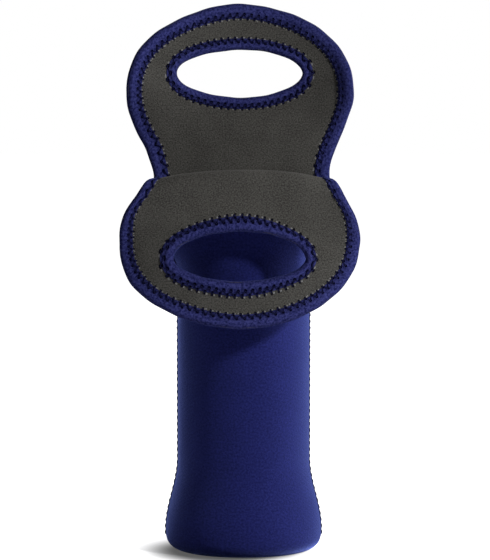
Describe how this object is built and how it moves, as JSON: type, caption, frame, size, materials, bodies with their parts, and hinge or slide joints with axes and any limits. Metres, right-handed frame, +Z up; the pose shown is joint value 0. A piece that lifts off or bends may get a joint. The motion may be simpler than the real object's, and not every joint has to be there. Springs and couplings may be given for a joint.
{
  "type": "bottle carrier",
  "caption": "Soft padded carrier for one bottle: a round pocket with a flat base and an open neck, and two flap handles with oval hand holes that fold down outwards.",
  "frame": {"origin": "centre of the round base, on the floor that it stands on", "axes": "+Z up along the pocket, +X to the right across the flaps, front flap towards -Y"},
  "size_m": [0.1586, 0.1238, 0.3684],
  "materials": {
    "cover_knit": "matte",
    "foam": "matte",
    "lining_knit": "matte",
    "padded_sheet": "matte",
    "binding_tape": "matte",
    "thread": "satin"
  },
  "bodies": {
    "pocket": {"front_cover": "cover_knit", "front_foam": "foam", "front_lining": "lining_knit", "rear_cover": "cover_knit", "rear_foam": "foam", "rear_lining": "lining_knit", "base_cover": "cover_knit", "base_foam": "foam", "base_lining": "lining_knit", "side_seam_left": "thread", "side_seam_right": "thread", "base_seam": "thread", "bar_tack_left": "thread", "bar_tack_right": "thread", "front_neck_binding": "binding_tape", "front_neck_stitch": "thread", "rear_neck_binding": "binding_tape", "rear_neck_stitch": "thread"},
    "front_fold_1": {"front_fold_1": "padded_sheet", "front_fold_binding_1": "binding_tape"},
    "front_fold_2": {"front_fold_2": "padded_sheet", "front_fold_binding_2": "binding_tape"},
    "front_fold_3": {"front_fold_3": "padded_sheet", "front_fold_binding_3": "binding_tape"},
    "front_flap": {"front_flap_cover": "cover_knit", "front_flap_foam": "foam", "front_flap_lining": "lining_knit", "front_flap_binding": "binding_tape", "front_flap_stitch": "thread", "front_hole_binding": "binding_tape", "front_hole_stitch": "thread"},
    "rear_fold_1": {"rear_fold_1": "padded_sheet", "rear_fold_binding_1": "binding_tape"},
    "rear_fold_2": {"rear_fold_2": "padded_sheet", "rear_fold_binding_2": "binding_tape"},
    "rear_fold_3": {"rear_fold_3": "padded_sheet", "rear_fold_binding_3": "binding_tape"},
    "rear_flap": {"rear_flap_cover": "cover_knit", "rear_flap_foam": "foam", "rear_flap_lining": "lining_knit", "rear_flap_binding": "binding_tape", "rear_flap_stitch": "thread", "rear_hole_binding": "binding_tape", "rear_hole_stitch": "thread"}
  },
  "joints": [
    {"name": "front_bend_1", "type": "hinge", "parent": "pocket", "child": "front_fold_1", "pos_m": [0, -0.03965, 0.25], "axis": [-1, 0, 0], "range_deg": [0, 48]},
    {"name": "front_bend_2", "type": "hinge", "parent": "front_fold_1", "child": "front_fold_2", "pos_m": [0, -0.04446, 0.2587], "axis": [-1, 0, 0], "range_deg": [0, 48]},
    {"name": "front_bend_3", "type": "hinge", "parent": "front_fold_2", "child": "front_fold_3", "pos_m": [0, -0.05438, 0.25927], "axis": [-1, 0, 0], "range_deg": [0, 48]},
    {"name": "front_bend_4", "type": "hinge", "parent": "front_fold_3", "child": "front_flap", "pos_m": [0, -0.06014, 0.25116], "axis": [-1, 0, 0], "range_deg": [0, 48]},
    {"name": "rear_bend_1", "type": "hinge", "parent": "pocket", "child": "rear_fold_1", "pos_m": [0, 0.04535, 0.25], "axis": [-1, 0, 0], "range_deg": [-5.4, 41.6], "stiffness_Nm_per_rad": 0.07},
    {"name": "rear_bend_2", "type": "hinge", "parent": "rear_fold_1", "child": "rear_fold_2", "pos_m": [0, 0.04543, 0.25744], "axis": [-1, 0, 0], "range_deg": [-5.4, 41.6], "stiffness_Nm_per_rad": 0.07},
    {"name": "rear_bend_3", "type": "hinge", "parent": "rear_fold_2", "child": "rear_fold_3", "pos_m": [0, 0.04565, 0.26488], "axis": [-1, 0, 0], "range_deg": [-5.4, 41.6], "stiffness_Nm_per_rad": 0.07},
    {"name": "rear_bend_4", "type": "hinge", "parent": "rear_fold_3", "child": "rear_flap", "pos_m": [0, 0.04603, 0.27231], "axis": [-1, 0, 0], "range_deg": [-5.4, 41.6], "stiffness_Nm_per_rad": 0.07}
  ],
  "couplings": [
    {"joint": "front_bend_2", "follows": "front_bend_1", "ratio": 1},
    {"joint": "front_bend_3", "follows": "front_bend_1", "ratio": 1},
    {"joint": "front_bend_4", "follows": "front_bend_1", "ratio": 1},
    {"joint": "rear_bend_2", "follows": "rear_bend_1", "ratio": 1},
    {"joint": "rear_bend_3", "follows": "rear_bend_1", "ratio": 1},
    {"joint": "rear_bend_4", "follows": "rear_bend_1", "ratio": 1}
  ]
}
